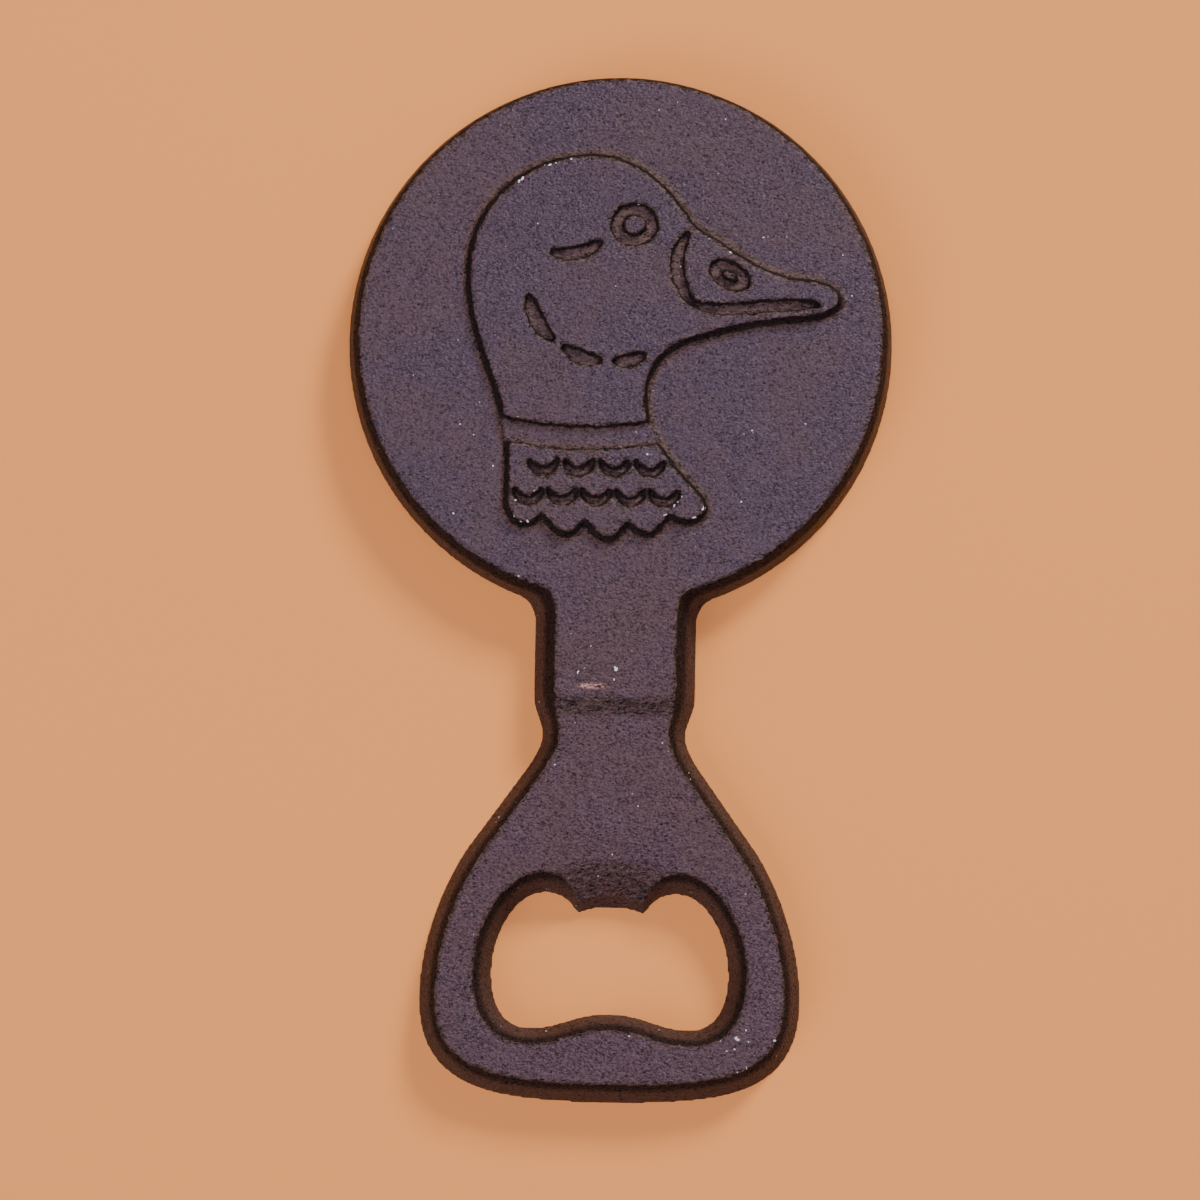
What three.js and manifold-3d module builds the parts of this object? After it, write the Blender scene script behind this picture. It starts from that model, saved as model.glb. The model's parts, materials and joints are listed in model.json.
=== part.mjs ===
// Cast-iron bottle opener: a round medallion with a duck's head in low relief, a neck bar and a cap loop,
// all one casting. Millimetres. The flat back is at Z = 0, +Z points out of the relief, and +Y runs from the
// loop to the medallion. The origin is under the middle of the casting.
import * as THREE from 'three';
import { mergeVertices } from 'three/addons/utils/BufferGeometryUtils.js';
import Module from 'manifold-3d';

// Height of the flat face that the medallion and the neck share
const FACE_HEIGHT = 6.4;

// Medallion
const MEDALLION_DIAMETER = 74;
const MEDALLION_DRAFT = 1.3;
const MEDALLION_EDGE = 0.6;
const MEDALLION_FACETS = 96;

// Neck bar, from the medallion's rim to the pinch, where the loop begins
const NECK_LENGTH = 16.4;
const NECK_WIDTH = 22;
const NECK_FILLET = 3.5;
const PINCH_DEPTH = 1.3;
const STEP_TOP_FROM_PINCH = 4.8;
const STEP_FOOT_FROM_PINCH = 2.2;

// Loop, from the pinch to its far end, with a rail down each side of its opening
const LOOP_LENGTH = 49.6;
const RAIL_WIDTH = 9.8;
const LOOP_HEIGHT = 5.2;
const WALL_DRAFT_ANGLE = THREE.MathUtils.degToRad(24);

// Opening in the loop, measured from the loop's far end
const OPENING_WIDTH = 31.8;
const END_BAR = 10;
const HUMP_RISE = 2;
const HUMP_TO_LOW = 10.8;
const CAP_GAP = 13.6;
const POCKET_DEPTH = 2.6;
const POCKET_SPACING = 17.8;
const OPENING_DRAFT_ANGLE = THREE.MathUtils.degToRad(26);

// Tooth that lifts the cap, standing into the opening between the pockets
const TOOTH_TIP_WIDTH = 8.8;
const TOOTH_HOLLOW = 0.7;
const TOOTH_LIP = 2.2;
const TOOTH_LEAN = 1.4;
const RAMP_WIDTH = 15;
const RAMP_SHOULDER = 1.2;
const RAMP_LENGTH = 7.2;

// Duck's head, drawn about the medallion's middle within a circle of RELIEF_REACH, then scaled to its border
const RELIEF_REACH = 31.2;
const RELIEF_BORDER = 4.5;
const RELIEF_HEIGHT = 1.3;
const RELIEF_DRAFT = 1;
const CARVING_DEPTH = 0.8;
const FEATHER_WIDTH = 4;
const FEATHER_DROP = 2.8;

// Fineness of the facets, and how far a cutter reaches past what it cuts
const CURVE_STEPS = 12;
const GROOVE_FACET = 0.5;
const RAMP_LEVELS = 8;
const FOOT_LEVELS = 4;
const CLEAR = 3;

// Values that follow from the sizes above
const overallLength = MEDALLION_DIAMETER + NECK_LENGTH + LOOP_LENGTH;
const loopEndY = -overallLength / 2;
const pinchY = loopEndY + LOOP_LENGTH;
const loopWidth = OPENING_WIDTH + 2 * RAIL_WIDTH;
const medallionRadius = MEDALLION_DIAMETER / 2;
const medallionY = overallLength / 2 - medallionRadius;
const humpY = loopEndY + END_BAR + HUMP_RISE;
const toothTipY = humpY + CAP_GAP;
const pocketY = toothTipY + POCKET_DEPTH;
const wallDraft = FACE_HEIGHT * Math.tan(WALL_DRAFT_ANGLE);
const openingSlope = Math.tan(OPENING_DRAFT_ANGLE);
const reliefScale = (medallionRadius - MEDALLION_DRAFT - RELIEF_BORDER) / RELIEF_REACH;

const wasm = await Module();
wasm.setup();

// A closed geometry as a solid that can be joined and cut.
function solid(geometry) {
  geometry.deleteAttribute('normal');
  geometry.deleteAttribute('uv');
  const merged = mergeVertices(geometry, 1e-4);
  const corners = [];
  const index = merged.index.array;
  for (let i = 0; i < index.length; i += 3) {
    const [a, b, c] = [index[i], index[i + 1], index[i + 2]];
    if (a !== b && b !== c && c !== a) corners.push(a, b, c);
  }
  const vertProperties = merged.attributes.position.array;
  return new wasm.Manifold(new wasm.Mesh({ numProp: 3, vertProperties, triVerts: new Uint32Array(corners) }));
}

// The points of a path, without the repeated last one.
function outline(path) {
  const points = path.getPoints(CURVE_STEPS);
  return points.filter((p, i) => p.distanceTo(points[(i + 1) % points.length]) > 1e-3);
}

// An outline moved inwards by a distance (outwards when negative), for one that runs anticlockwise.
function inset(points, distance) {
  return points.map((p, i) => {
    const before = points[(i + points.length - 1) % points.length];
    const after = points[(i + 1) % points.length];
    const along = p.clone().sub(before).normalize().add(after.clone().sub(p).normalize()).normalize();
    return new THREE.Vector2(p.x - along.y * distance, p.y + along.x * distance);
  });
}

// A solid through levels of [outline, height] from the lowest up. The outlines are anticlockwise and have as
// many points each.
function loft(levels) {
  const count = levels[0][0].length;
  const position = levels.flatMap(([points, z]) => points.flatMap((p) => [p.x, p.y, z]));
  const index = [];
  for (const [a, b, c] of THREE.ShapeUtils.triangulateShape(levels[0][0], [])) {
    index.push(a, c, b);
  }
  const top = (levels.length - 1) * count;
  for (const [a, b, c] of THREE.ShapeUtils.triangulateShape(levels.at(-1)[0], [])) {
    index.push(top + a, top + b, top + c);
  }
  for (let start = 0; start < top; start += count) {
    for (let i = 0; i < count; i += 1) {
      const [a, b] = [start + i, start + (i + 1) % count];
      index.push(a, b, b + count, a, b + count, a + count);
    }
  }
  const geometry = new THREE.BufferGeometry();
  geometry.setAttribute('position', new THREE.Float32BufferAttribute(position, 3));
  geometry.setIndex(index);
  return solid(geometry);
}

// A straight-walled solid of a shape between two heights.
function prism(shape, z0, z1) {
  const settings = { depth: z1 - z0, bevelEnabled: false, curveSegments: 2 * CURVE_STEPS };
  const geometry = new THREE.ExtrudeGeometry(shape, settings);
  geometry.translate(0, 0, z0);
  return solid(geometry);
}

// A solid of a side profile, given as [y, z] corners, running across the casting.
function acrossX(corners, width) {
  const shape = new THREE.Shape(corners.map(([y, z]) => new THREE.Vector2(y, z)));
  const geometry = new THREE.ExtrudeGeometry(shape, { depth: width, bevelEnabled: false });
  geometry.rotateX(Math.PI / 2);
  geometry.rotateZ(Math.PI / 2);
  geometry.translate(-width / 2, 0, 0);
  return solid(geometry);
}

// The right half of an outline, listed from bottom to top, with its mirror image.
function bothSides(right) {
  const left = right.map((p) => new THREE.Vector2(-p.x, p.y)).reverse();
  return [...right, ...left].filter((p, i, all) => p.distanceTo(all[(i + 1) % all.length]) > 1e-3);
}

// Round medallion with drafted rim and a softened top edge.
function medallion() {
  const top = medallionRadius - MEDALLION_DRAFT;
  const profile = new THREE.Path();
  profile.moveTo(0, 0);
  profile.lineTo(medallionRadius, 0);
  profile.lineTo(top, FACE_HEIGHT - MEDALLION_EDGE);
  profile.absarc(top - MEDALLION_EDGE, FACE_HEIGHT - MEDALLION_EDGE, MEDALLION_EDGE, 0, Math.PI / 2);
  profile.lineTo(0, FACE_HEIGHT);
  const geometry = new THREE.LatheGeometry(profile.getPoints(2), MEDALLION_FACETS);
  geometry.rotateX(Math.PI / 2);
  geometry.translate(0, medallionY, 0);
  return solid(geometry);
}

// Neck and loop at the back face: a straight neck with fillets to the medallion, a pinch and a flared loop.
// Inside the medallion the outline turns back on an arc wider than the walls' draft, so that it can be inset.
function barOutline() {
  const neck = NECK_WIDTH / 2;
  const pinch = neck - PINCH_DEPTH;
  const wide = loopWidth / 2;
  const up = (share) => loopEndY + share * LOOP_LENGTH;
  const filletX = neck + NECK_FILLET;
  const filletY = medallionY - Math.sqrt((medallionRadius + NECK_FILLET) ** 2 - filletX ** 2);
  const meets = Math.atan2(medallionY - filletY, -filletX);
  const turn = wallDraft + 1;
  const turnX = filletX + (NECK_FILLET + turn) * Math.cos(meets);
  const turnY = filletY + (NECK_FILLET + turn) * Math.sin(meets);
  const right = new THREE.Path();
  right.moveTo(0, loopEndY);
  right.quadraticCurveTo(0.346 * wide, loopEndY, 0.545 * wide, up(0.018));
  right.bezierCurveTo(0.875 * wide, up(0.048), wide, up(0.141), wide, up(0.278));
  right.bezierCurveTo(wide, up(0.444), 0.868 * wide, up(0.605), 0.751 * wide, up(0.694));
  right.lineTo(pinch + 1.9, pinchY - 4.4);
  right.bezierCurveTo(pinch + 1, pinchY - 3.1, pinch, pinchY - 1.3, pinch, pinchY);
  right.bezierCurveTo(pinch, pinchY + 1.8, neck, pinchY + 2.8, neck, pinchY + 6);
  right.lineTo(neck, filletY);
  right.absarc(filletX, filletY, NECK_FILLET, Math.PI, meets, true);
  right.absarc(turnX, turnY, turn, meets - Math.PI, Math.PI / 2);
  return bothSides(outline(right));
}

// Neck and loop, stepped down at the neck's lower end.
function bar() {
  const lower = barOutline();
  const upper = inset(lower, wallDraft);
  const stepCut = acrossX([
    [pinchY + STEP_TOP_FROM_PINCH, FACE_HEIGHT],
    [pinchY + STEP_TOP_FROM_PINCH, FACE_HEIGHT + CLEAR],
    [loopEndY - CLEAR, FACE_HEIGHT + CLEAR],
    [loopEndY - CLEAR, LOOP_HEIGHT],
    [pinchY + STEP_FOOT_FROM_PINCH, LOOP_HEIGHT],
  ], loopWidth + CLEAR);
  return loft([[lower, 0], [upper, FACE_HEIGHT]]).subtract(stepCut);
}

// Opening for the crown cap: a humped far side, and a pocket either side of the tooth. Its walls lean back,
// so it has grown by a distance at each height, and the tooth's front leans back further.
function openingOutline(grown) {
  const wide = OPENING_WIDTH / 2 + grown;
  const pocket = POCKET_SPACING / 2;
  const tip = TOOTH_TIP_WIDTH / 2;
  const tipY = toothTipY + TOOTH_LEAN * grown;
  const topY = pocketY + grown;
  const lowY = loopEndY + END_BAR - grown;
  const widestY = lowY + 0.4 * (topY - lowY);
  const cornerY = 0.66 * lowY + 0.34 * widestY;
  const right = new THREE.Path();
  right.moveTo(0, humpY - grown);
  right.bezierCurveTo(0.45 * HUMP_TO_LOW, humpY - grown, 0.6 * HUMP_TO_LOW, lowY, HUMP_TO_LOW, lowY);
  right.bezierCurveTo(0.4 * HUMP_TO_LOW + 0.6 * wide, lowY, wide, cornerY, wide, widestY);
  right.bezierCurveTo(wide, 0.5 * (widestY + topY), 0.45 * pocket + 0.55 * wide, topY, pocket, topY);
  right.bezierCurveTo(pocket - 2.2, topY, tip + 1.4, 0.6 * topY + 0.4 * tipY, tip + 0.4, tipY + 0.4);
  right.quadraticCurveTo(tip, tipY - 0.3, tip - 0.6, tipY + 0.1);
  right.quadraticCurveTo(0.5 * tip, tipY + TOOTH_HOLLOW, 0, tipY + TOOTH_HOLLOW);
  return bothSides(outline(right));
}

// The opening as a cutter, from below the back to above the face.
function opening() {
  const top = FACE_HEIGHT + CLEAR;
  const through = prism(new THREE.Shape(openingOutline(0)), -CLEAR, CLEAR / 2);
  return loft([[openingOutline(0), 0], [openingOutline(openingSlope * top), top]]).add(through);
}

// Cutter for the ramp, which leaves the loop's face level and steepens down to the tooth's lip.
function toothRamp() {
  const lipY = toothTipY + TOOTH_HOLLOW + TOOTH_LEAN * openingSlope * TOOTH_LIP;
  const level = (share) => {
    const spread = 1 - Math.sqrt(1 - share);
    const wide = (TOOTH_TIP_WIDTH / 2) * (1 - spread) + (RAMP_WIDTH / 2) * spread + RAMP_SHOULDER;
    const headY = lipY + RAMP_LENGTH * spread;
    const right = new THREE.Path();
    right.moveTo(0, humpY);
    right.lineTo(wide, humpY);
    right.lineTo(wide, headY - 0.5 * wide);
    right.quadraticCurveTo(wide, headY, 0.4 * wide, headY);
    return [bothSides(outline(right)), TOOTH_LIP + share * (LOOP_HEIGHT - TOOTH_LIP)];
  };
  const levels = Array.from({ length: RAMP_LEVELS + 1 }, (_, i) => level(i / RAMP_LEVELS));
  const [face] = levels.at(-1);
  return loft([...levels, [face, FACE_HEIGHT + CLEAR]]);
}

// A point on the relief, from its drawing.
function at(x, y) {
  return new THREE.Vector2(x * reliefScale, medallionY + y * reliefScale);
}

// A path through the drawing: a start, then curves of two controls and an end, or one control and an end.
function drawn(path, start, curves) {
  path.moveTo(...at(...start));
  for (const curve of curves) {
    const numbers = curve.flatMap(([x, y]) => [...at(x, y)]);
    if (curve.length === 3) path.bezierCurveTo(...numbers);
    else path.quadraticCurveTo(...numbers);
  }
  return path;
}

// A mallard's head and neck in profile, facing +X, ending in five scallops of breast feathers.
function headOutline() {
  const path = drawn(new THREE.Path(), [10.5, 15.5], [
    [[7.4, 20], [3.4, 25.6], [-4.2, 25.6]],
    [[-13.4, 25.6], [-21.2, 18.6], [-21.4, 9.4]],
    [[-21.6, 3], [-19.6, -1.6], [-17.8, -6.6]],
    [[-16, -11.6], [-15.4, -16], [-15.8, -21.4]],
    [[-16.2, -26.4], [-11.6, -27.6], [-10.2, -25]],
    [[-8.6, -28.4], [-5.6, -28.4], [-4.4, -25.8]],
    [[-2.8, -29], [0.2, -29], [1.4, -25.9]],
    [[3.2, -28.4], [6, -27.6], [7, -24.8]],
    [[9.2, -27.2], [15, -24.4], [11.4, -20.6]],
    [[7, -16.2], [4, -12.4], [4.2, -7.4]],
    [[4.4, -4.2], [6.6, -1.6], [10.2, -0.6]],
    [[14.5, 0.6], [18.5, 1.9], [23.6, 2.2]],
    [[27.2, 2.4], [30.4, 3.4], [30.3, 5.6]],
    [[30.2, 8], [27.4, 8.8], [24.2, 9]],
    [[18, 9.6], [14, 14.2], [10.5, 15.5]],
  ]);
  return outline(path);
}

// A groove along a curve of the drawing, narrowing to nothing at both ends.
function groove(start, curve, width) {
  const path = drawn(new THREE.Path(), start, [curve]);
  const steps = Math.ceil(path.getLength() / GROOVE_FACET);
  const sides = [[], []];
  for (let i = 0; i <= steps; i += 1) {
    const share = i / steps;
    const point = path.getPointAt(share);
    const along = path.getTangentAt(share);
    const half = (Math.sqrt(Math.sin(Math.PI * share)) * width * reliefScale) / 2;
    sides[0].push(new THREE.Vector2(point.x + along.y * half, point.y - along.x * half));
    sides[1].push(new THREE.Vector2(point.x - along.y * half, point.y + along.x * half));
  }
  return new THREE.Shape([...sides[0], ...sides[1].slice(1, -1).reverse()]);
}

// A sunk oval with a smaller oval left standing in it.
function ringed(centre, outer, inner, lean) {
  const { x, y } = at(...centre);
  const [outerX, outerY, innerX, innerY] = [...outer, ...inner].map((radius) => radius * reliefScale);
  const shape = new THREE.Shape();
  shape.absellipse(x, y, outerX, outerY, 0, 2 * Math.PI, false, lean);
  const island = new THREE.Path();
  island.absellipse(x, y, innerX, innerY, 0, 2 * Math.PI, false, lean);
  shape.holes.push(island);
  return shape;
}

// Ring round the neck: a sunk band from edge to edge, bowed as it goes round.
function neckRing() {
  const shape = drawn(new THREE.Shape(), [-24, -8.6], [[[-6, -15.4], [12, -9.4]]]);
  shape.lineTo(...at(12, -12.6));
  shape.quadraticCurveTo(...at(-6, -18.6), ...at(-24, -11.8));
  return shape;
}

// Breast feathers: rows of small open bows below the ring.
function breastFeathers() {
  const rows = [
    { y: -16.4, x: [-10.2, -5.4, -0.6, 4.2] },
    { y: -20.4, x: [-12.2, -7.6, -3, 1.6, 6.2] },
  ];
  return rows.flatMap(({ y, x }) => x.map((middle) => {
    const left = middle - FEATHER_WIDTH / 2;
    const right = middle + FEATHER_WIDTH / 2;
    const low = y - FEATHER_DROP;
    return groove([left, y], [[left + 0.4, low], [right - 0.4, low], [right, y]], 1.2);
  }));
}

// Every line and hollow carved in the duck's head.
function carving() {
  return [
    ringed([1.6, 15.4], [3.2, 2.9], [1.6, 1.4], 0),
    ringed([14.6, 8.7], [3, 1.8], [1.2, 0.6], -0.5),
    groove([9.2, 14.8], [[5.4, 9.8], [9.8, 4.4]], 1.8),
    groove([8.4, 5.4], [[12.6, 2.6], [19, 5.2], [27.6, 4.8]], 1.6),
    groove([-2.6, 13.2], [[-5.8, 10.4], [-10, 11.6]], 1.8),
    groove([-12.6, 5.8], [[-12, 1.6], [-8.8, -0.8]], 2),
    groove([-8, -1.2], [[-5.6, -3.4], [-2.2, -3.2]], 1.9),
    groove([-1.2, -3.3], [[1.2, -3.6], [3.6, -2.2]], 1.7),
    neckRing(),
    ...breastFeathers(),
  ];
}

// Duck's head: a flat raised plate with carved lines, and a wall that sweeps out at its foot.
function relief() {
  const top = FACE_HEIGHT + RELIEF_HEIGHT;
  const floor = top - CARVING_DEPTH;
  const edge = headOutline();
  const levels = [[edge, FACE_HEIGHT - CARVING_DEPTH]];
  for (let i = 0; i <= FOOT_LEVELS; i += 1) {
    const share = i / FOOT_LEVELS;
    levels.push([inset(edge, RELIEF_DRAFT * share ** 0.6), FACE_HEIGHT + RELIEF_HEIGHT * share]);
  }
  let plate = loft(levels);
  for (const shape of carving()) {
    plate = plate.subtract(prism(shape, floor, floor + CLEAR));
  }
  return plate;
}

// The whole casting.
function openerCasting() {
  const loop = bar().subtract(opening()).subtract(toothRamp());
  const casting = medallion().add(loop).add(relief());
  const { vertProperties, triVerts } = casting.getMesh();
  const geometry = new THREE.BufferGeometry();
  geometry.setAttribute('position', new THREE.BufferAttribute(vertProperties, 3));
  geometry.setIndex(new THREE.BufferAttribute(triVerts, 1));
  geometry.computeVertexNormals();
  return geometry;
}

const castIron = new THREE.MeshStandardMaterial({ color: 0x3a2a28, roughness: 0.5, metalness: 0.3 });
const casting = new THREE.Mesh(openerCasting(), castIron);
casting.name = 'opener_casting';

const group = new THREE.Group();
group.add(casting);

export default group;
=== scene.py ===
"""Cast-iron bottle opener: a lacquered sand casting around its CAD frame, on a plain stage."""

import json
import math

import bpy
import numpy as np
from mathutils import Matrix, Vector

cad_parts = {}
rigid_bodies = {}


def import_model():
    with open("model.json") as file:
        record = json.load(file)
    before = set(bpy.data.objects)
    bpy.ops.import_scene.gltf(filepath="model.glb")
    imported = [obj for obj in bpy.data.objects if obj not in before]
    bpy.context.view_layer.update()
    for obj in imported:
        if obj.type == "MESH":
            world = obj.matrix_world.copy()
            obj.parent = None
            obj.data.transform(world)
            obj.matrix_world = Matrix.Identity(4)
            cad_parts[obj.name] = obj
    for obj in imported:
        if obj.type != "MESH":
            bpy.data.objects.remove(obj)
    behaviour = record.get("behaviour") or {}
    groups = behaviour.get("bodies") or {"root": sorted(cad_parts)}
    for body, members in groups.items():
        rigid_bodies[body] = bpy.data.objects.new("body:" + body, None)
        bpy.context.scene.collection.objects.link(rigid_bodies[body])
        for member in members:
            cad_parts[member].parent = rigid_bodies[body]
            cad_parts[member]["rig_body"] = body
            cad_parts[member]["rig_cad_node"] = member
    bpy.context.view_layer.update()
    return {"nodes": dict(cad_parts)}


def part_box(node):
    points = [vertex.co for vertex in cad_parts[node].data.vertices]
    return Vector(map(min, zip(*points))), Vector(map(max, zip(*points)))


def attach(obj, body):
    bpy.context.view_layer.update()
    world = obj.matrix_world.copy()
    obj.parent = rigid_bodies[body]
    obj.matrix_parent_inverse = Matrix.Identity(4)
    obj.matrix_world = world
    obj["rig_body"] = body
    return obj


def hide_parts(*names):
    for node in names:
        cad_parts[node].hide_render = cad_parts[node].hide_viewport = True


bl_info = {
    "name": "Cast Iron Bottle Opener",
    "version": (1, 0, 0),
    "blender": (4, 5, 0),
    "location": "3D View > Sidebar > Opener",
    "description": "Builds a lacquered cast-iron bottle opener with a duck's head in relief",
    "category": "Object",
}

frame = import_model()
MM = 0.001
CASTING = "opener_casting"
PIECE = "cast_opener"
LOW, HIGH = (Vector(corner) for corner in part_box(CASTING))
# The round medallion is as wide as the casting, and reaches from here to the casting's far end
MEDALLION_FOOT = HIGH.y - (HIGH.x - LOW.x)


# ---------------------------------------------------------------- settings


class CastingSettings(bpy.types.PropertyGroup):
    """Sizes of the cast surface."""

    ragged: bpy.props.FloatProperty(
        name="Ragged", description="How far edges and carved lines stray sideways",
        default=0.45 * MM, unit="LENGTH")
    voxel: bpy.props.FloatProperty(
        name="Voxel", description="Cell of the mesh that rounds the casting's corners",
        default=0.23 * MM, unit="LENGTH")
    softening: bpy.props.IntProperty(
        name="Softening", description="Passes that round edges and fill their feet", default=3)
    waviness: bpy.props.FloatProperty(
        name="Waviness", description="How far the walls wander from their drawn line",
        default=0.25 * MM, unit="LENGTH")
    lumps: bpy.props.FloatProperty(
        name="Lumps", description="Height of the sand's coarse lumps",
        default=0.06 * MM, unit="LENGTH")
    grain: bpy.props.FloatProperty(
        name="Grain", description="Height of the sand's fine grain",
        default=0.30 * MM, unit="LENGTH")
    triangles: bpy.props.IntProperty(
        name="Triangles", description="Most triangles in the finished casting", default=190_000)


class LacquerSettings(bpy.types.PropertyGroup):
    """Colours of the lacquer, of what shows through it, and of its painted shade, painted light and
    painted glints.
    """

    brown: bpy.props.FloatVectorProperty(
        name="Brown", description="Lacquer over iron", subtype="COLOR", size=3,
        default=(0.036, 0.013, 0.024))
    # Rust in patches, hollows and on walls; on slopes the same colour is painted light
    rust_and_slope_light: bpy.props.FloatVectorProperty(
        name="Rust and slope light", description="Thin lacquer in hollows and on walls", subtype="COLOR", size=3,
        default=(0.085, 0.040, 0.026))
    # Paler lacquer towards the loop, and painted glints on the grain's crests
    pale_and_glint: bpy.props.FloatVectorProperty(
        name="Pale and glint", description="Paler lacquer, on the grain's crests and towards the loop",
        subtype="COLOR", size=3, default=(0.092, 0.039, 0.046))
    # Painted shade: black on the walls, in the grain's pits and in streaks across slopes
    painted_shade: bpy.props.FloatVectorProperty(
        name="Painted shade", description="Black on walls and in the grain's pits", subtype="COLOR", size=3,
        default=(0.006, 0.004, 0.004))
    bare: bpy.props.FloatVectorProperty(
        name="Bare", description="Chips down to pale metal", subtype="COLOR", size=3,
        default=(0.75, 0.70, 0.68))
    scuff: bpy.props.FloatVectorProperty(
        name="Scuff", description="Rubbed patch beside the neck's step", subtype="COLOR", size=3,
        default=(0.60, 0.30, 0.22))


class StageSettings(bpy.types.PropertyGroup):
    """Camera and floor."""

    lens: bpy.props.FloatProperty(
        name="Lens", description="Focal length in millimetres", default=200)
    view_width: bpy.props.FloatProperty(
        name="View width", description="Width of the floor that the camera sees",
        default=0.1627, unit="LENGTH")
    tilt: bpy.props.FloatProperty(
        name="Tilt", description="How far the camera leans from straight above towards the loop",
        default=math.radians(6.5), subtype="ANGLE")
    roll: bpy.props.FloatProperty(
        name="Roll", description="How far the camera turns about its own line of sight",
        default=math.radians(1), subtype="ANGLE")
    floor: bpy.props.FloatVectorProperty(
        name="Floor", description="Colour of the plain floor", subtype="COLOR", size=3,
        default=(0.80, 0.30, 0.055))


# ---------------------------------------------------------------- shader maths


# Where a Mix node that mixes colours has its factor, its two colours and its result
MIX_FACTOR = 0
MIX_A = 6
MIX_B = 7
MIX_RESULT = 2
# Share of a reach within which a place counts in full
FULL_REACH = 0.3


class Socket:
    """A shader socket on which arithmetic adds Math nodes."""

    def __init__(self, tree, socket):
        self.tree = tree
        self.socket = socket

    def _maths(self, operation, *values):
        return self.tree.add("ShaderNodeMath", {"operation": operation}, dict(enumerate(values)))

    def __add__(self, other):
        return self._maths("ADD", self, other)

    def __sub__(self, other):
        return self._maths("SUBTRACT", self, other)

    def __rsub__(self, other):
        return self._maths("SUBTRACT", other, self)

    def __mul__(self, other):
        return self._maths("MULTIPLY", self, other)

    __radd__ = __add__
    __rmul__ = __mul__

    def over(self, edge, width):
        """0 up to edge, rising to 1 across width."""
        inputs = {"Value": self, "From Min": edge, "From Max": edge + width}
        return self.tree.add("ShaderNodeMapRange", {"interpolation_type": "SMOOTHSTEP"}, inputs)

    def clamped(self):
        return self.tree.add("ShaderNodeClamp", None, {"Value": self})


class Shader:
    """A material's node tree, with one method that adds any node."""

    def __init__(self, name):
        self.material = bpy.data.materials.new(name)
        self.material.use_nodes = True
        self.nodes = self.material.node_tree.nodes
        self.links = self.material.node_tree.links
        self.nodes.clear()
        self.place = self.add("ShaderNodeTexCoord", output="Object")

    def add(self, kind, settings=None, inputs=None, output=0):
        """Adds a node, makes its settings, then its inputs, and returns one of its outputs."""
        node = self.nodes.new(kind)
        for name, value in (settings or {}).items():
            setattr(node, name, value)
        for name, value in (inputs or {}).items():
            if isinstance(value, Socket):
                self.links.new(value.socket, node.inputs[name])
            else:
                node.inputs[name].default_value = value
        return Socket(self, node.outputs[output]) if node.outputs else None

    def noise(self, size, detail=2.0, roughness=0.5, seed=0.0, stretch=1.0):
        """Noise with features about size metres across, and stretch times that along X."""
        place = self.vector("MULTIPLY", self.place, (1 / stretch, 1, 1))
        inputs = {"Vector": place, "W": seed, "Scale": 1 / size,
                  "Detail": detail, "Roughness": roughness}
        return self.add("ShaderNodeTexNoise", {"noise_dimensions": "4D"}, inputs)

    def cells(self, size):
        """Distance from the middles of cells that are about size metres across."""
        inputs = {"Vector": self.place, "Scale": 1 / size}
        return self.add("ShaderNodeTexVoronoi", None, inputs, "Distance")

    def blend(self, factor, a, b):
        """Colour a where factor is 0, and b where it is 1."""
        inputs = {MIX_FACTOR: factor, MIX_A: self.colour(a), MIX_B: self.colour(b)}
        return self.add("ShaderNodeMix", {"data_type": "RGBA"}, inputs, MIX_RESULT)

    def colour(self, value):
        return value if isinstance(value, Socket) else (*value, 1)

    def attribute(self, name):
        return self.add("ShaderNodeAttribute", {"attribute_name": name}, output="Fac")

    def height(self):
        """Height above the floor, in metres."""
        return self.add("ShaderNodeSeparateXYZ", None, {"Vector": self.place}, "Z")

    def vector(self, operation, a, b=(0, 0, 0), output="Vector"):
        return self.add("ShaderNodeVectorMath", {"operation": operation}, {0: a, 1: b}, output)

    def near(self, centre, reach):
        """1 about a point, falling to 0 at a reach along each axis. Both are in millimetres."""
        away = self.vector("SUBTRACT", self.place, Vector(centre) * MM)
        shares = self.vector("DIVIDE", away, Vector(reach) * MM)
        distance = self.vector("LENGTH", shares, output="Value")
        return 1 - distance.over(edge=FULL_REACH, width=1 - FULL_REACH)


# ---------------------------------------------------------------- modelling helpers


def deselect():
    if bpy.context.object and bpy.context.object.mode != "OBJECT":
        bpy.ops.object.mode_set(mode="OBJECT")
    bpy.ops.object.select_all(action="DESELECT")


def activate(piece):
    deselect()
    piece.select_set(True)
    bpy.context.view_layer.objects.active = piece


def modify(piece, kind, **settings):
    """Adds a modifier, sets it and applies it."""
    activate(piece)
    modifier = piece.modifiers.new(kind.title(), kind)
    for name, value in settings.items():
        setattr(modifier, name, value)
    bpy.ops.object.modifier_apply(modifier=modifier.name)


def clouds(name, size):
    """A displacement pattern with features about size metres across."""
    texture = bpy.data.textures.new(name, "CLOUDS")
    texture.cloud_type = "COLOR"
    texture.noise_scale = size
    texture.noise_depth = 1
    return texture


def find(name):
    piece = bpy.data.objects.get(name)
    if piece is None:
        raise RuntimeError(f"{name} has to be made first")
    return piece


# ---------------------------------------------------------------- casting


# Vertices of the CAD casting that are closer together than this become one
WELD = 0.001 * MM
# How many times each measure of the surface is averaged over neighbouring vertices
EDGE_PASSES = 2
FACING_PASSES = 3
WALL_PASSES = 5
HOLLOW_PASSES = 60
# The bend and the depth that get a mark of 1
FULL_BEND = 0.03 * MM
FULL_DEPTH = 0.6 * MM
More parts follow.
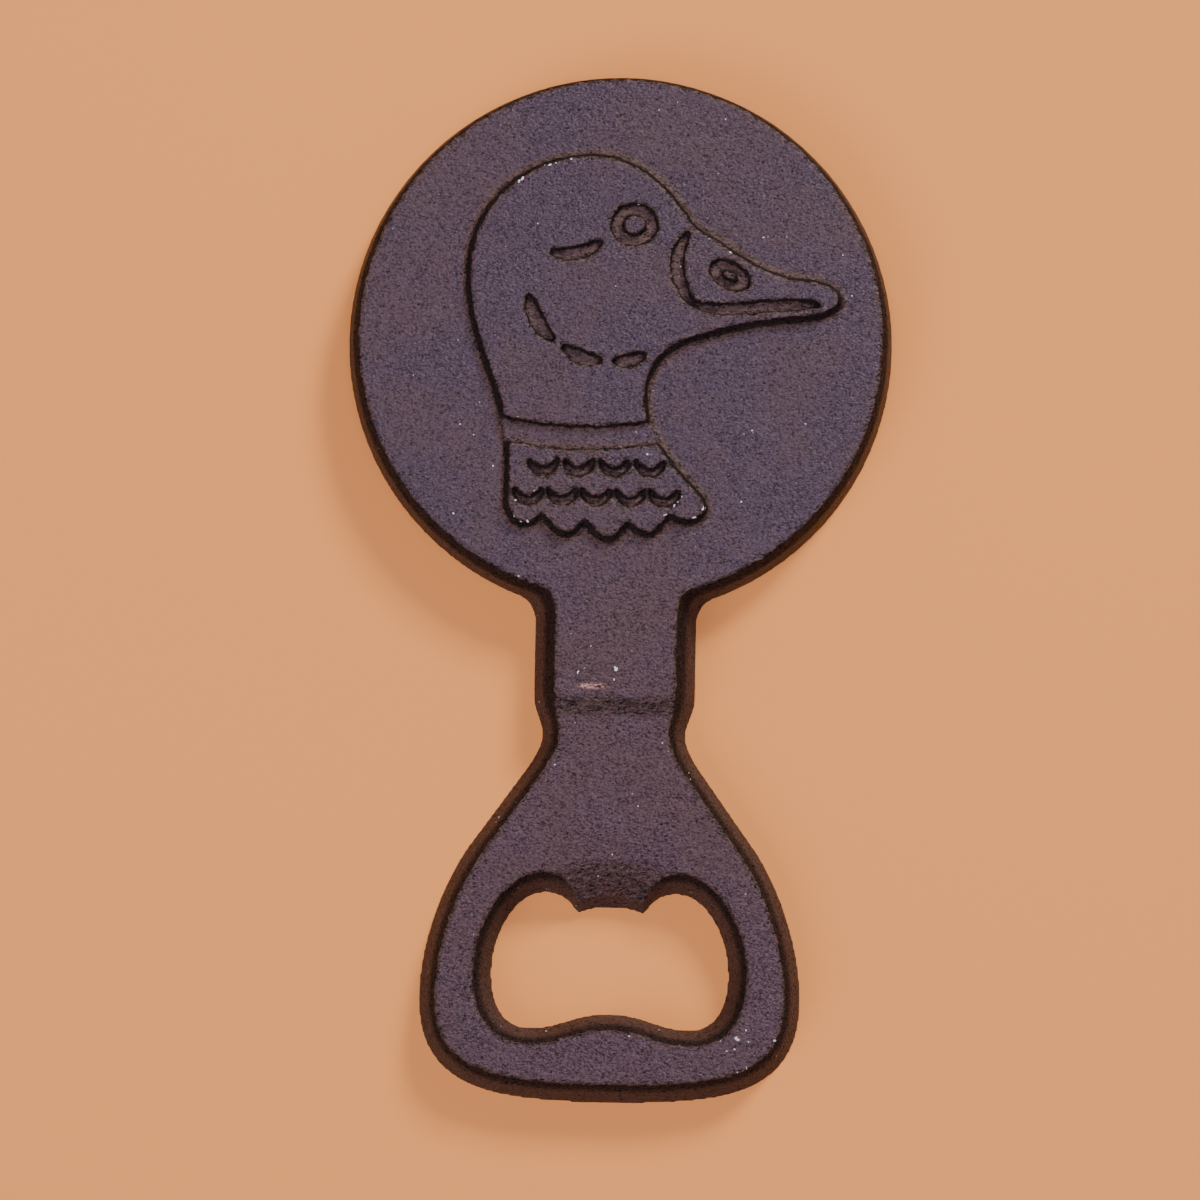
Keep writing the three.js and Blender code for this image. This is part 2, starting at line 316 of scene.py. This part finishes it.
# Steepness, from 0 on a flat to 1 on an upright wall, at which a wall's mark starts, and over which it
# rises; the mark carries painted shade. The relief and the top edges lie above the relief's foot, in
# millimetres. Their mark starts at a steepness that is higher towards the lit side, the key lamp's
# direction along X and Y, and lower away from it, so walls turned from the lamp get wider painted
# shade
WALL_STARTS = 0.22
WALL_RISES = 0.2
RELIEF_FOOT = 6
RELIEF_WALL_STARTS = 0.13
LIT_SIDE_ADDS = 0.12
LIT_SIDE = (0.6, 0.8)
# Share of the grain on the medallion, and the least of it on the back and at the foot of the walls
MEDALLION_GRAIN = 0.7
BACK_GRAIN = 0.02
FOOT_GRAIN = 0.2
# How far a face turns from the back, and how many millimetres up it is, where its grain is in full
BACK_TURN = 0.25
FOOT_HEIGHT = 2
# Steps to which the weight of a vertex is rounded
WEIGHT_STEPS = 10


def copy_of_frame():
    """A merged copy of the CAD casting."""
    activate(frame["nodes"][CASTING])
    bpy.ops.object.duplicate()
    piece = bpy.context.object
    piece.name = piece.data.name = PIECE
    piece.parent = None
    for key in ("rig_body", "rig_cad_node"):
        if key in piece:
            del piece[key]
    piece.data.materials.clear()
    bpy.ops.object.mode_set(mode="EDIT")
    bpy.ops.mesh.select_all(action="SELECT")
    bpy.ops.mesh.remove_doubles(threshold=WELD)
    bpy.ops.object.mode_set(mode="OBJECT")
    return piece


class OPENER_OT_casting(bpy.types.Operator):
    """Round the drawn shape as a sand mould does"""

    bl_idname = "opener.casting"
    bl_label = "Casting"

    def execute(self, context):
        settings = context.scene.opener_casting
        piece = copy_of_frame()
        modify(piece, "REMESH", mode="VOXEL", voxel_size=settings.voxel)
        modify(piece, "SMOOTH", factor=0.5, iterations=settings.softening)
        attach(piece, "root")
        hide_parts(CASTING)
        return {"FINISHED"}


def spread(values, edges, passes):
    """Averages each vertex's value with its neighbours'."""
    a, b = edges
    count = len(values)
    share = 1 + np.bincount(a, minlength=count) + np.bincount(b, minlength=count)
    for _ in range(passes):
        total = values + np.bincount(a, values[b], count) + np.bincount(b, values[a], count)
        values = total / share
    return values


def read(collection, name, width, kind=np.float32):
    """Values of a mesh's elements, as rows of width columns."""
    values = np.empty(len(collection) * width, kind)
    collection.foreach_get(name, values)
    return values.reshape(-1, width)


def mark_skin(piece):
    """Stores where the casting has edges, hollows and walls, and groups what each pattern moves."""
    mesh = piece.data
    place = read(mesh.vertices, "co", 3)
    normal = read(mesh.vertex_normals, "vector", 3)
    edges = read(mesh.edges, "vertices", 2, np.int32).T
    near = np.stack([spread(place[:, axis], edges, EDGE_PASSES) for axis in range(3)], axis=1)
    far = np.stack([spread(place[:, axis], edges, HOLLOW_PASSES) for axis in range(3)], axis=1)
    bend = ((place - near) * normal).sum(1)
    depth = ((far - place) * normal).sum(1)
    across, along, facing = (spread(normal[:, axis], edges, FACING_PASSES) for axis in range(3))
    steep = 1 - abs(facing)
    height = place[:, 2] / MM
    # Walls turned away from the key lamp are marked from a lower steepness, for wider painted shade
    towards_lit = across * LIT_SIDE[0] + along * LIT_SIDE[1]
    relief_starts = RELIEF_WALL_STARTS + LIT_SIDE_ADDS * towards_lit
    starts = np.where(height > RELIEF_FOOT, relief_starts, WALL_STARTS)
    wall = np.clip((steep - starts) / WALL_RISES, 0, 1)
    marks = {
        "bend": spread(bend, edges, EDGE_PASSES) / FULL_BEND,
        "depth": depth / FULL_DEPTH,
        "steep": steep,
        "wall": spread(wall, edges, WALL_PASSES),
    }
    for name, values in marks.items():
        layer = mesh.attributes.new(name, "FLOAT", "POINT")
        layer.data.foreach_set("value", np.clip(values, -1, 1).astype(np.float32))
    # The back stays flat: "raised" grows with height, and is in full a millimetre above the floor
    weigh(piece, "raised", height)
    off_back = np.clip((facing + 1) / BACK_TURN, BACK_GRAIN, 1)
    on_medallion = np.where(place[:, 1] > MEDALLION_FOOT, MEDALLION_GRAIN, 1.0)
    off_floor = np.clip(height / FOOT_HEIGHT, FOOT_GRAIN, 1)
    weigh(piece, "grained", off_back * on_medallion * off_floor)
    above_foot = np.clip((height - FOOT_HEIGHT) / FOOT_HEIGHT, 0, 1)
    weigh(piece, "edged", (abs(marks["bend"]) + marks["steep"]) * above_foot)


def weigh(piece, name, weights):
    """Groups vertices by weight, rounded to one of a few steps."""
    group = piece.vertex_groups.new(name=name)
    steps = np.round(np.clip(weights, 0, 1) * WEIGHT_STEPS)
    for step in range(1, WEIGHT_STEPS + 1):
        group.add(np.flatnonzero(steps == step).tolist(), step / WEIGHT_STEPS, "REPLACE")


class OPENER_OT_cast_skin(bpy.types.Operator):
    """Give the casting its wandering walls, lumps and sand grain"""

    bl_idname = "opener.cast_skin"
    bl_label = "Cast skin"

    def execute(self, context):
        settings = context.scene.opener_casting
        piece = find(PIECE)
        mark_skin(piece)
        # Each pattern's name, the size of its features, its height, its direction and what it moves
        layers = (("wander", 9 * MM, settings.waviness, "NORMAL", "raised"),
                  ("ragged", 0.9 * MM, settings.ragged, "RGB_TO_XYZ", "edged"),
                  ("lumps", 1.5 * MM, settings.lumps, "NORMAL", "grained"),
                  ("grain", 0.5 * MM, settings.grain, "NORMAL", "grained"))
        for name, size, height, direction, group in layers:
            modify(piece, "DISPLACE", texture=clouds(name, size), texture_coords="LOCAL",
                   strength=height, direction=direction, mid_level=0.5, vertex_group=group)
        triangles = sum(len(face.vertices) - 2 for face in piece.data.polygons)
        modify(piece, "DECIMATE", ratio=min(1, settings.triangles / triangles))
        activate(piece)
        bpy.ops.object.shade_smooth()
        return {"FINISHED"}


# ---------------------------------------------------------------- finish


# Places on the casting, and how far each reaches along each axis, in millimetres: where the lacquer
# is chipped off edges and off flats, where it's paler and the grain coarser, and where it's scuffed
CHIPPED_EDGES = (
    ((-17.2, 21.5, 7.7), (5, 7, 3)),
    ((-10, 56, 7.7), (9, 6, 3)),
    ((14, 46, 7.7), (5, 4, 3)),
    ((-13, 9, 7.7), (5, 5, 3)),
    ((8, 9, 7.7), (7, 5, 3)),
    ((18.6, -63.5, 5.2), (6, 5, 3)),
    ((24.5, -44, 5.2), (3, 9, 3)),
)
CHIPPED_FLATS = (
    ((1.2, -11.5, 6.4), (2.2, 4, 3)),
    ((-3.8, -13, 6.4), (2.5, 2, 3)),
    ((17, -62, 5.2), (5, 3, 3)),
)
COARSE = ((0, -42, 5), (60, 60, 40))
SCUFFED = ((-3, -14.3, 6.4), (2.8, 0.6, 1))
# Sizes of the patterns in the lacquer, and how much longer they are along X
MOTTLE = 13 * MM
PATCH = 0.8 * MM
CHIP = 0.6 * MM
CELL = 0.45 * MM
STREAK = 0.35 * MM
SAND = 0.24 * MM
SAND_STRETCH = 1.4
STREAK_STRETCH = 3
# Shares of the paler colour towards the loop, of the painted glints on the grain's crests, and of
# rust; the share on slopes is painted light
LOOP_PALENESS = 0.4
CREST_GLINT = 0.5
PATINA_RUST = 0.3
HOLLOW_RUST = 0.7
WALL_RUST = 0.7
SLOPE_LIGHT = 0.6
# How likely a chip is in the listed places, and how strong the scuff is
EDGE_CHIPS = 0.13
FLAT_CHIPS = 0.10
SCUFF_STRENGTH = 0.6
# How far patches make the walls' outline ragged
RAGGED_WALLS = 0.8
# Painted shade on walls, and what is added near their top: it grows from a height, over a band above
# it
WALL_SHADE = 0.35
HIGH_WALL_SHADE = 0.45
HIGH_FROM = 2.4 * MM
HIGH_BAND = 1.8 * MM
# Level of the sand below which its pits are, how far patches lower it, and the painted shade in the
# pits: in all of them, what is added where the grain is coarse, and what walls take away
PIT_LEVEL = 0.64
PATCHES_LOWER = 0.16
PIT_SHADE = 0.85
COARSE_ADDS = 0.08
WALLS_TAKE = 0.3
# Level of the streaks below which they are dark, and the painted shade in them
STREAK_LEVEL = 0.56
STREAK_SHADE = 0.4
# Depth of the grain, the shares of its patterns, and how much of it there is: everywhere, and what is
# added where it's coarse
GRAIN_DEPTH = 0.24 * MM
SAND_SHARE = 0.8
PATCH_SHARE = 0.6
CELL_SHARE = 0.4
GRAIN_EVERYWHERE = 0.95
GRAIN_ADDED = 0.6
# Roughness of the lacquer at its smoothest, what roughens it, and the painted shade's roughness and
# shine
SMOOTHEST = 0.26
SAND_ROUGHENS = 0.2
PATINA_ROUGHENS = 0.12
HOLLOW_ROUGHENS = 0.2
SHADE_ROUGHNESS = 0.9
SHADE_SHINE = 0.1


def chips(shader, bend):
    """1 where the lacquer is chipped off, which is likeliest in the places listed above."""
    edges = sum(shader.near(place, reach) for place, reach in CHIPPED_EDGES)
    flats = sum(shader.near(place, reach) for place, reach in CHIPPED_FLATS)
    specks = shader.noise(CHIP, detail=1, roughness=0.4, seed=7)
    sharp = edges * bend.over(edge=0.2, width=0.5)
    return (specks + sharp * EDGE_CHIPS + flats * FLAT_CHIPS).over(edge=0.78, width=0.03)


def lacquered_iron(colours):
    """Brown lacquer over grainy iron: painted shade in pits, streaks and on walls, rusty hollows,
    slopes painted lighter, painted glints on crests, pale chips.
    """
    shader = Shader("lacquered_iron")
    bend = shader.attribute("bend")
    depth = shader.attribute("depth")
    steep = shader.attribute("steep")
    mottle = shader.noise(MOTTLE, detail=5, roughness=0.6)
    sand = shader.noise(SAND, roughness=0.7, seed=2, stretch=SAND_STRETCH)
    patches = shader.noise(PATCH, seed=4, stretch=SAND_STRETCH)
    streaks = shader.noise(STREAK, detail=3, roughness=0.6, seed=9, stretch=STREAK_STRETCH)
    grains = shader.cells(CELL)

    wall = (shader.attribute("wall") + patches * RAGGED_WALLS).over(edge=0.78, width=0.37)
    hollow = depth.over(edge=0.10, width=0.35)
    high = shader.height().over(edge=HIGH_FROM, width=HIGH_BAND)
    patina = mottle.over(edge=0.42, width=0.2)
    coarse = shader.near(*COARSE)
    # Gentle slopes: they take painted light in the rust colour, and painted shade in streaks
    slanting = steep.over(edge=0.02, width=0.06) * (1 - wall)
    # Painted glints: the grain's crests are painted paler
    crests = sand.over(edge=0.50, width=0.2) * (1 - wall)
    chipped = chips(shader, bend)
    scuffed = shader.near(*SCUFFED) * sand.over(edge=0.42, width=0.1)

    # Paler towards the loop, plus the painted glints on the crests
    pale = coarse * LOOP_PALENESS + crests * CREST_GLINT
    # Rust in patches, hollows and on walls, and painted light on the slopes
    rust_and_slope_light_share = patina * PATINA_RUST + hollow * HOLLOW_RUST + wall * WALL_RUST + slanting * SLOPE_LIGHT
    colour = shader.blend(pale, colours.brown, colours.pale_and_glint)
    colour = shader.blend(rust_and_slope_light_share.clamped(), colour, colours.rust_and_slope_light)
    colour = shader.blend(chipped, colour, colours.bare)
    colour = shader.blend(scuffed * SCUFF_STRENGTH, colour, colours.scuff)

    height = sand * SAND_SHARE + patches * PATCH_SHARE + grains * CELL_SHARE
    height = height * (GRAIN_EVERYWHERE + coarse * GRAIN_ADDED)
    bump = shader.add("ShaderNodeBump", None, {
        "Height": height, "Strength": 1.0, "Distance": GRAIN_DEPTH})
    roughness = SMOOTHEST + sand * SAND_ROUGHENS + patina * PATINA_ROUGHENS + hollow * HOLLOW_ROUGHENS
    lacquer = shader.add("ShaderNodeBsdfPrincipled", None, {
        "Base Color": colour, "Roughness": roughness, "Normal": bump})
    painted_shade = shader.add("ShaderNodeBsdfPrincipled", None, {
        "Base Color": shader.colour(colours.painted_shade), "Roughness": SHADE_ROUGHNESS,
        "Specular IOR Level": SHADE_SHINE, "Normal": bump})

    # Painted shade in the grain's pits, more where the grain is coarse and less on walls
    pits = (PIT_LEVEL - sand - patches * PATCHES_LOWER).over(edge=0.0, width=0.3)
    pits = pits * (PIT_SHADE + coarse * COARSE_ADDS - wall * WALLS_TAKE)
    # Painted shade in streaks across the slopes
    lines = (STREAK_LEVEL - streaks).over(edge=0.0, width=0.10) * slanting * STREAK_SHADE
    # Painted shade on the walls, heavier towards their top edge
    walls = wall * (WALL_SHADE + high * HIGH_WALL_SHADE)
    # Share of the black painted-shade shader: pits, streaks and walls together, none on chips
    shade_share = (pits + lines + walls).clamped() * (1 - chipped)
    mixed = shader.add("ShaderNodeMixShader", None, {0: shade_share, 1: lacquer, 2: painted_shade})
    shader.add("ShaderNodeOutputMaterial", None, {"Surface": mixed})
    return shader.material


class OPENER_OT_lacquer(bpy.types.Operator):
    """Lacquer the casting"""

    bl_idname = "opener.lacquer"
    bl_label = "Lacquer"

    def execute(self, context):
        material = lacquered_iron(context.scene.opener_lacquer)
        find(PIECE).data.materials.append(material)
        return {"FINISHED"}


# ---------------------------------------------------------------- stage


# Each lamp's name, place, size, power in watts and colour
LAMPS = (
    ("overhead", (0.0, -0.05, 1.6), (1.2, 0.9), 24, (0.69, 0.63, 1.0)),
    ("key", (0.7, 1.2, 0.8), (0.35, 0.35), 27, (1.0, 0.97, 0.92)),
    ("fill", (-0.9, -0.8, 0.9), (0.8, 0.8), 11, (1.0, 0.9, 0.84)),
)
# What the lamps and the camera point at, and how near the camera sees, in metres
LAMPS_AIM = Vector((0, 0, 0))
CAMERA_AIM = Vector((-2.2, -1.94, 0)) * MM
CAMERA_SEES_FROM = 0.01
WORLD_COLOUR = (0.95, 0.92, 1, 1)
WORLD_STRENGTH = 0.18
FLOOR_WIDTH = 4
FLOOR_ROUGHNESS = 0.8


def add_floor(colour):
    bpy.ops.mesh.primitive_plane_add(size=FLOOR_WIDTH)
    floor = bpy.context.object
    floor.name = floor.data.name = "floor"
    shader = Shader("floor")
    paint = shader.add("ShaderNodeBsdfPrincipled", None, {
        "Base Color": shader.colour(colour), "Roughness": FLOOR_ROUGHNESS})
    shader.add("ShaderNodeOutputMaterial", None, {"Surface": paint})
    floor.data.materials.append(shader.material)


def add_lamp(name, place, size, power, colour):
    bpy.ops.object.light_add(type="AREA", location=place)
    lamp = bpy.context.object
    lamp.name = name
    lamp.data.shape = "RECTANGLE"
    lamp.data.size, lamp.data.size_y = size
    lamp.data.energy = power
    lamp.data.color = colour
    lamp.rotation_euler = (LAMPS_AIM - Vector(place)).to_track_quat("-Z", "Y").to_euler()


def add_world():
    world = bpy.data.worlds.new("studio")
    world.use_nodes = True
    background = world.node_tree.nodes["Background"]
    background.inputs["Color"].default_value = WORLD_COLOUR
    background.inputs["Strength"].default_value = WORLD_STRENGTH
    bpy.context.scene.world = world


def add_camera(settings):
    """Camera above the opener, leaning towards the loop, a little left of and below its middle."""
    data = bpy.data.cameras.new("camera")
    data.lens = settings.lens
    data.clip_start = CAMERA_SEES_FROM
    distance = settings.view_width * data.lens / data.sensor_width
    camera = bpy.data.objects.new("camera", data)
    bpy.context.scene.collection.objects.link(camera)
    turn = Matrix.Rotation(settings.roll, 4, "Z") @ Matrix.Rotation(settings.tilt, 4, "X")
    away = Matrix.Translation((0, 0, distance))
    camera.matrix_world = Matrix.Translation(CAMERA_AIM) @ turn @ away
    bpy.context.scene.camera = camera


class OPENER_OT_stage(bpy.types.Operator):
    """Add the floor, the lamps and the camera"""

    bl_idname = "opener.stage"
    bl_label = "Stage"

    def execute(self, context):
        settings = context.scene.opener_stage
        deselect()
        add_floor(settings.floor)
        for lamp in LAMPS:
            add_lamp(*lamp)
        add_world()
        add_camera(settings)
        return {"FINISHED"}


# ---------------------------------------------------------------- add-on


class OPENER_PT_panel(bpy.types.Panel):
    """Steps and settings of the bottle opener"""

    bl_label = "Bottle Opener"
    bl_idname = "OPENER_PT_panel"
    bl_space_type = "VIEW_3D"
    bl_region_type = "UI"
    bl_category = "Opener"

    def draw(self, context):
        for operator in OPERATORS:
            self.layout.operator(operator.bl_idname)
        for group in SETTINGS:
            settings = getattr(context.scene, group)
            for name in settings.__annotations__:
                self.layout.prop(settings, name)


OPERATORS = (OPENER_OT_stage, OPENER_OT_casting, OPENER_OT_cast_skin, OPENER_OT_lacquer)
SETTINGS = {
    "opener_casting": CastingSettings,
    "opener_lacquer": LacquerSettings,
    "opener_stage": StageSettings,
}


def register():
    for cls in (*SETTINGS.values(), *OPERATORS, OPENER_PT_panel):
        bpy.utils.register_class(cls)
    for name, group in SETTINGS.items():
        setattr(bpy.types.Scene, name, bpy.props.PointerProperty(type=group))


def unregister():
    for name in SETTINGS:
        delattr(bpy.types.Scene, name)
    for cls in reversed((*SETTINGS.values(), *OPERATORS, OPENER_PT_panel)):
        bpy.utils.unregister_class(cls)


def main():
    register()
    bpy.ops.opener.stage()
    bpy.ops.opener.casting()
    bpy.ops.opener.cast_skin()
    bpy.ops.opener.lacquer()


if __name__ == "__main__":
    main()
